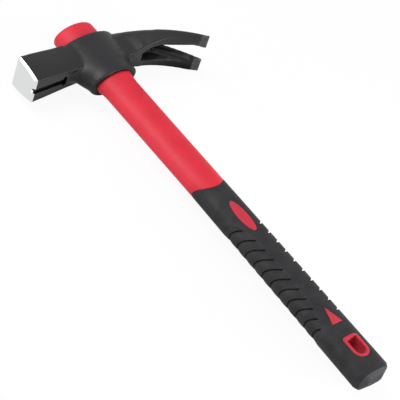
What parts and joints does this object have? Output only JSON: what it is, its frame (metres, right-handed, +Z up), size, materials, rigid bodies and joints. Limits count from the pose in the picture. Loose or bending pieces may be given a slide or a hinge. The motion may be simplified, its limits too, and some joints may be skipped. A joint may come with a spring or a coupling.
{
  "type": "framing hammer",
  "caption": "Claw hammer with a square poll, a nail-starting groove and a curved split claw, on a jacketed handle with a ribbed soft grip and a lined hang hole.",
  "frame": {"origin": "middle of the underside of the box around the hammer as it lies on its side", "axes": "+X from the striking face to the claw, +Y from the butt to the top of the head, +Z up through the near cheek"},
  "size_m": [0.142, 0.3486, 0.036],
  "materials": {
    "lacquered_steel": "satin black lacquer, bare ground steel on the striking face and the claw's tips",
    "magnet": "satin nickel",
    "glass_fibre": "matt",
    "epoxy": "gloss",
    "red_plastic": "gloss",
    "black_rubber": "matt"
  },
  "bodies": {
    "root": {"hammer_head": "lacquered_steel", "nail_magnet": "magnet", "handle_core": "glass_fibre", "eye_epoxy": "epoxy", "handle_jacket": "red_plastic", "eye_cap": "red_plastic", "rubber_grip": "black_rubber", "oval_inlay_near": "red_plastic", "oval_inlay_far": "red_plastic", "arrow_inlay_near": "red_plastic", "arrow_inlay_far": "red_plastic", "hang_hole_liner": "red_plastic"}
  },
  "joints": []
}
